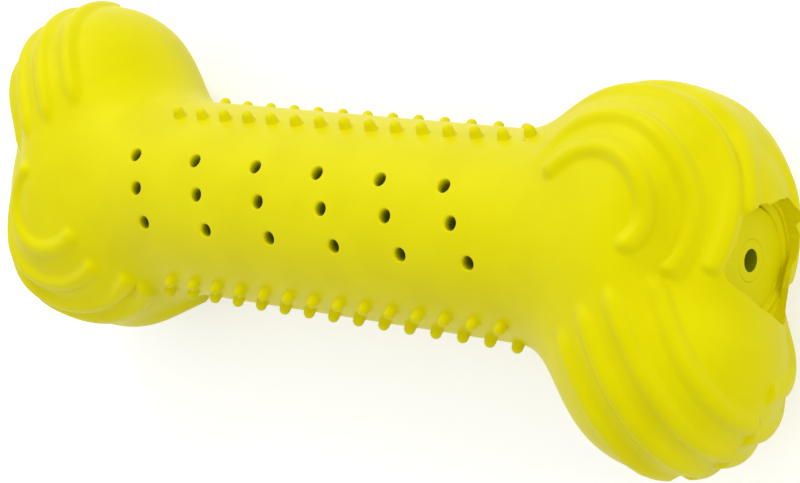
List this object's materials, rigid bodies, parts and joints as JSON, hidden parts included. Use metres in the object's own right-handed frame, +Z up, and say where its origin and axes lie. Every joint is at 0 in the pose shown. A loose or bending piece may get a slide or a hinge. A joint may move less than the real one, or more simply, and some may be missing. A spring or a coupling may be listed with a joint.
{
  "type": "bone-shaped dog toy",
  "caption": "Hollow rubber bone with ribbed knobs, rows of chewing nubs and holes along the shaft, closed by a vented push-in plug at one end.",
  "frame": {"origin": "under the middle of the bone, on the surface that it lies on", "axes": "+X along the bone towards the plugged end, +Y across the knobs, +Z up through the holed face"},
  "size_m": [0.1766, 0.0706, 0.0405],
  "materials": {
    "rubber": "satin",
    "plug_rubber": "satin"
  },
  "bodies": {
    "bone": {"front_half_shell": "rubber", "back_half_shell": "rubber"},
    "plug": {"end_plug": "plug_rubber", "vent_bush": "plug_rubber"}
  },
  "joints": [
    {"name": "plug_pull", "type": "slide", "parent": "bone", "child": "plug", "axis": [1, 0, 0], "range_m": [0, 0.02]}
  ]
}
